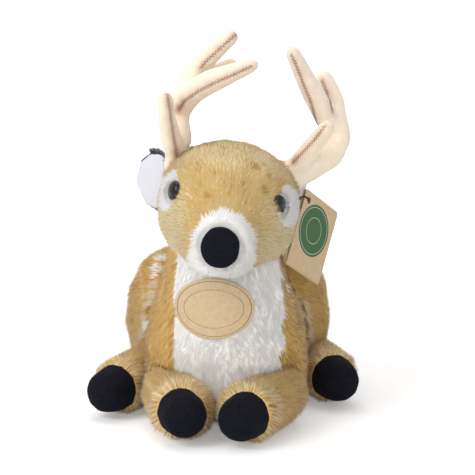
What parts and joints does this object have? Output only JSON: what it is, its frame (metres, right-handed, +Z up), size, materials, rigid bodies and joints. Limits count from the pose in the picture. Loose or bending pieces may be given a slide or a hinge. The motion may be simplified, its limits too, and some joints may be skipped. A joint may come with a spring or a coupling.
{
  "type": "stuffed toy",
  "caption": "Lying plush stag toy with stuffed velour antlers, felt nose and hooves, a blank chest badge and a blank folded hang tag.",
  "frame": {"origin": "on the flat underside of the belly, straight below the neck's middle line", "axes": "+Z up, the face looks towards -Y, the animal's own left side is at +X"},
  "size_m": [0.1683, 0.2422, 0.241],
  "materials": {
    "tan_plush": "short pile plush, tan brown",
    "white_plush": "short pile plush, white",
    "dark_plush": "short pile plush, near black",
    "black_felt": "matte felt",
    "cream_velour": "brushed velour, cream",
    "white_satin": "satin",
    "stuffing": "loose polyester filling",
    "kraft_card": "uncoated brown card",
    "black_plastic": "polished, black",
    "clear_plastic": "natural white",
    "dark_thread": "twisted thread"
  },
  "bodies": {
    "torso": {"body_cover": "tan_plush", "chest_panel": "white_plush", "body_stuffing": "stuffing", "chest_badge": "kraft_card", "thigh_cover_right": "tan_plush", "thigh_stuffing_right": "stuffing", "thigh_cover_left": "tan_plush", "thigh_stuffing_left": "stuffing"},
    "foreleg_right": {"foreleg_cover_right": "tan_plush", "foreleg_stuffing_right": "stuffing", "fore_hoof_right": "black_felt"},
    "foreleg_left": {"foreleg_cover_left": "tan_plush", "foreleg_stuffing_left": "stuffing", "fore_hoof_left": "black_felt"},
    "hind_leg_right": {"hind_leg_cover_right": "tan_plush", "hind_leg_stuffing_right": "stuffing", "hind_hoof_right": "black_felt"},
    "hind_leg_left": {"hind_leg_cover_left": "tan_plush", "hind_leg_stuffing_left": "stuffing", "hind_hoof_left": "black_felt"},
    "tail": {"tail_top": "tan_plush", "tail_underside": "white_plush"},
    "neck": {"neck_stuffing": "stuffing"},
    "head": {"head_cover": "tan_plush", "muzzle_panel": "white_plush", "head_stuffing": "stuffing", "nose_pad": "black_felt", "eye_patch_right": "white_plush", "eye_right": "black_plastic", "eye_washer_right": "clear_plastic", "eye_patch_left": "white_plush", "eye_left": "black_plastic", "eye_washer_left": "clear_plastic", "tag_loop": "dark_thread"},
    "ear_right": {"ear_back_right": "dark_plush", "ear_lining_right": "white_satin"},
    "ear_left": {"ear_back_left": "dark_plush", "ear_lining_left": "white_satin"},
    "antler_right": {"antler_cover_right": "cream_velour", "antler_stuffing_right": "stuffing"},
    "antler_left": {"antler_cover_left": "cream_velour", "antler_stuffing_left": "stuffing"},
    "tag": {"hang_tag": "kraft_card"}
  },
  "joints": [
    {"name": "head_turn", "type": "hinge", "parent": "torso", "child": "neck", "pos_m": [0, -0.006, 0.092], "axis": [0, 0, 1], "range_deg": [-16, 16], "stiffness_Nm_per_rad": 1.2},
    {"name": "head_nod", "type": "hinge", "parent": "neck", "child": "head", "pos_m": [0, -0.006, 0.092], "axis": [-1, 0, 0], "range_deg": [0, 12], "stiffness_Nm_per_rad": 4},
    {"name": "foreleg_splay_right", "type": "hinge", "parent": "torso", "child": "foreleg_right", "pos_m": [-0.032, -0.022, 0.0205], "axis": [0, 0, -1], "range_deg": [0, 20], "stiffness_Nm_per_rad": 0.3},
    {"name": "foreleg_splay_left", "type": "hinge", "parent": "torso", "child": "foreleg_left", "pos_m": [0.036, -0.022, 0.0205], "axis": [0, 0, 1], "range_deg": [0, 20], "stiffness_Nm_per_rad": 0.3},
    {"name": "hind_leg_splay_right", "type": "hinge", "parent": "torso", "child": "hind_leg_right", "pos_m": [-0.051, 0.03, 0.0205], "axis": [0, 0, -1], "range_deg": [0, 15], "stiffness_Nm_per_rad": 0.3},
    {"name": "hind_leg_splay_left", "type": "hinge", "parent": "torso", "child": "hind_leg_left", "pos_m": [0.047, 0.071, 0.0205], "axis": [0, 0, 1], "range_deg": [0, 15], "stiffness_Nm_per_rad": 0.3},
    {"name": "tail_lift", "type": "hinge", "parent": "torso", "child": "tail", "pos_m": [-0.004, 0.13, 0.062], "axis": [1, 0, 0], "range_deg": [0, 40], "stiffness_Nm_per_rad": 0.06},
    {"name": "ear_fold_right", "type": "hinge", "parent": "head", "child": "ear_right", "pos_m": [-0.03111, 0.00486, 0.15315], "axis": [0.3337, -0.3952, -0.8558], "range_deg": [-12, 18], "stiffness_Nm_per_rad": 0.05},
    {"name": "ear_fold_left", "type": "hinge", "parent": "head", "child": "ear_left", "pos_m": [0.03721, 0.00963, 0.14474], "axis": [-0.0059, 0.0173, -0.9998], "range_deg": [-12, 18], "stiffness_Nm_per_rad": 0.05},
    {"name": "antler_bend_right", "type": "hinge", "parent": "head", "child": "antler_right", "pos_m": [-0.026, -0.014, 0.16], "axis": [-0.0698, 0.9976, 0], "range_deg": [-8, 8], "stiffness_Nm_per_rad": 0.6},
    {"name": "antler_bend_left", "type": "hinge", "parent": "head", "child": "antler_left", "pos_m": [0.041, -0.006, 0.153], "axis": [-0.0698, 0.9976, 0], "range_deg": [-8, 8], "stiffness_Nm_per_rad": 0.6},
    {"name": "tag_swing", "type": "hinge", "parent": "head", "child": "tag", "pos_m": [0.05024, 0.00712, 0.1361], "axis": [0.8829, -0.4695, 0], "range_deg": [0, 18]}
  ]
}
